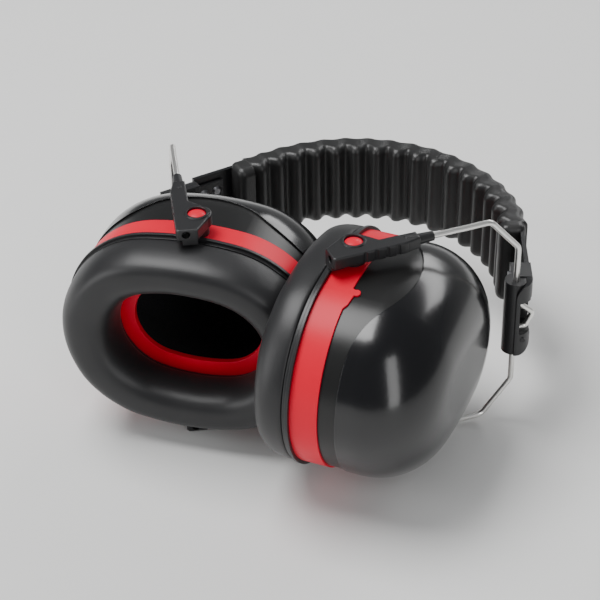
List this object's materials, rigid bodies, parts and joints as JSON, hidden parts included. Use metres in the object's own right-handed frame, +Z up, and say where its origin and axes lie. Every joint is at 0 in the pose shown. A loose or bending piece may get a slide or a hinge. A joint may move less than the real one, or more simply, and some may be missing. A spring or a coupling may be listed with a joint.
{
  "type": "earmuff hearing protector",
  "caption": "Over-the-head folding earmuff with a ribbed padded headband, wire yokes and oval cups with soft cushions, lying folded on its side.",
  "frame": {"origin": "centre of the bounding box's footprint, on the plane the headset lies on", "axes": "+Z up, at right angles to the headband's plane; +X along the line between the two yoke hinges (the ear axis) towards the right-hand cup; +Y towards the crown of the headband"},
  "size_m": [0.186, 0.1897, 0.1056],
  "materials": {
    "strip_black": "black coated spring steel, satin",
    "pad_skin": "soft black vinyl over padding",
    "black_plastic": "satin black nylon",
    "red_plastic": "red moulded plastic, semi-gloss",
    "gloss_shell": "polished black",
    "shell_plastic": "black, semi-gloss",
    "wire_steel": "bright drawn stainless wire",
    "fastener_steel": "dark plated steel",
    "cushion_skin": "soft matte black vinyl",
    "grey_foam": "open-cell foam"
  },
  "bodies": {
    "headband": {"headband_strip": "strip_black", "headband_pad": "pad_skin", "right_end_clip": "black_plastic", "right_clip_keeper": "black_plastic", "left_end_clip": "black_plastic", "left_clip_keeper": "black_plastic", "band_rivets": "fastener_steel", "keeper_screws": "fastener_steel"},
    "right_yoke": {"right_yoke_wire": "wire_steel"},
    "right_arms": {"right_upper_arm": "black_plastic", "right_lower_arm": "black_plastic", "right_upper_swivel_pin": "red_plastic", "right_lower_swivel_pin": "red_plastic"},
    "right_cup": {"right_cup_ring": "red_plastic", "right_swivel_bosses": "black_plastic", "right_cup_shell": "shell_plastic", "right_shell_cap": "gloss_shell", "right_foam_liner": "grey_foam", "right_seal_flange": "black_plastic", "right_cushion_plate": "black_plastic", "right_ear_cushion": "cushion_skin"},
    "left_yoke": {"left_yoke_wire": "wire_steel"},
    "left_arms": {"left_upper_arm": "black_plastic", "left_lower_arm": "black_plastic", "left_upper_swivel_pin": "red_plastic", "left_lower_swivel_pin": "red_plastic"},
    "left_cup": {"left_cup_ring": "red_plastic", "left_swivel_bosses": "black_plastic", "left_cup_shell": "shell_plastic", "left_shell_cap": "gloss_shell", "left_foam_liner": "grey_foam", "left_seal_flange": "black_plastic", "left_cushion_plate": "black_plastic", "left_ear_cushion": "cushion_skin"}
  },
  "joints": [
    {"name": "right_fold", "type": "hinge", "parent": "headband", "child": "right_yoke", "pos_m": [0.0861, 0.01215, 0.0528], "axis": [0, 0, 1], "range_deg": [0, 41]},
    {"name": "right_slide", "type": "slide", "parent": "right_yoke", "child": "right_arms", "axis": [0.6794, 0.7337, 0], "range_m": [0, 0.006]},
    {"name": "right_swivel", "type": "hinge", "parent": "right_arms", "child": "right_cup", "pos_m": [0.03314, -0.03694, 0.0528], "axis": [0, 0, 1], "range_deg": [-2, 4]},
    {"name": "left_fold", "type": "hinge", "parent": "headband", "child": "left_yoke", "pos_m": [-0.0779, 0.01215, 0.0528], "axis": [0, 0, -1], "range_deg": [0, 33]},
    {"name": "left_slide", "type": "slide", "parent": "left_yoke", "child": "left_arms", "axis": [-0.5476, 0.8368, 0], "range_m": [0, 0.006]},
    {"name": "left_swivel", "type": "hinge", "parent": "left_arms", "child": "left_cup", "pos_m": [-0.03387, -0.04508, 0.0528], "axis": [0, 0, 1], "range_deg": [-4, 10]}
  ]
}
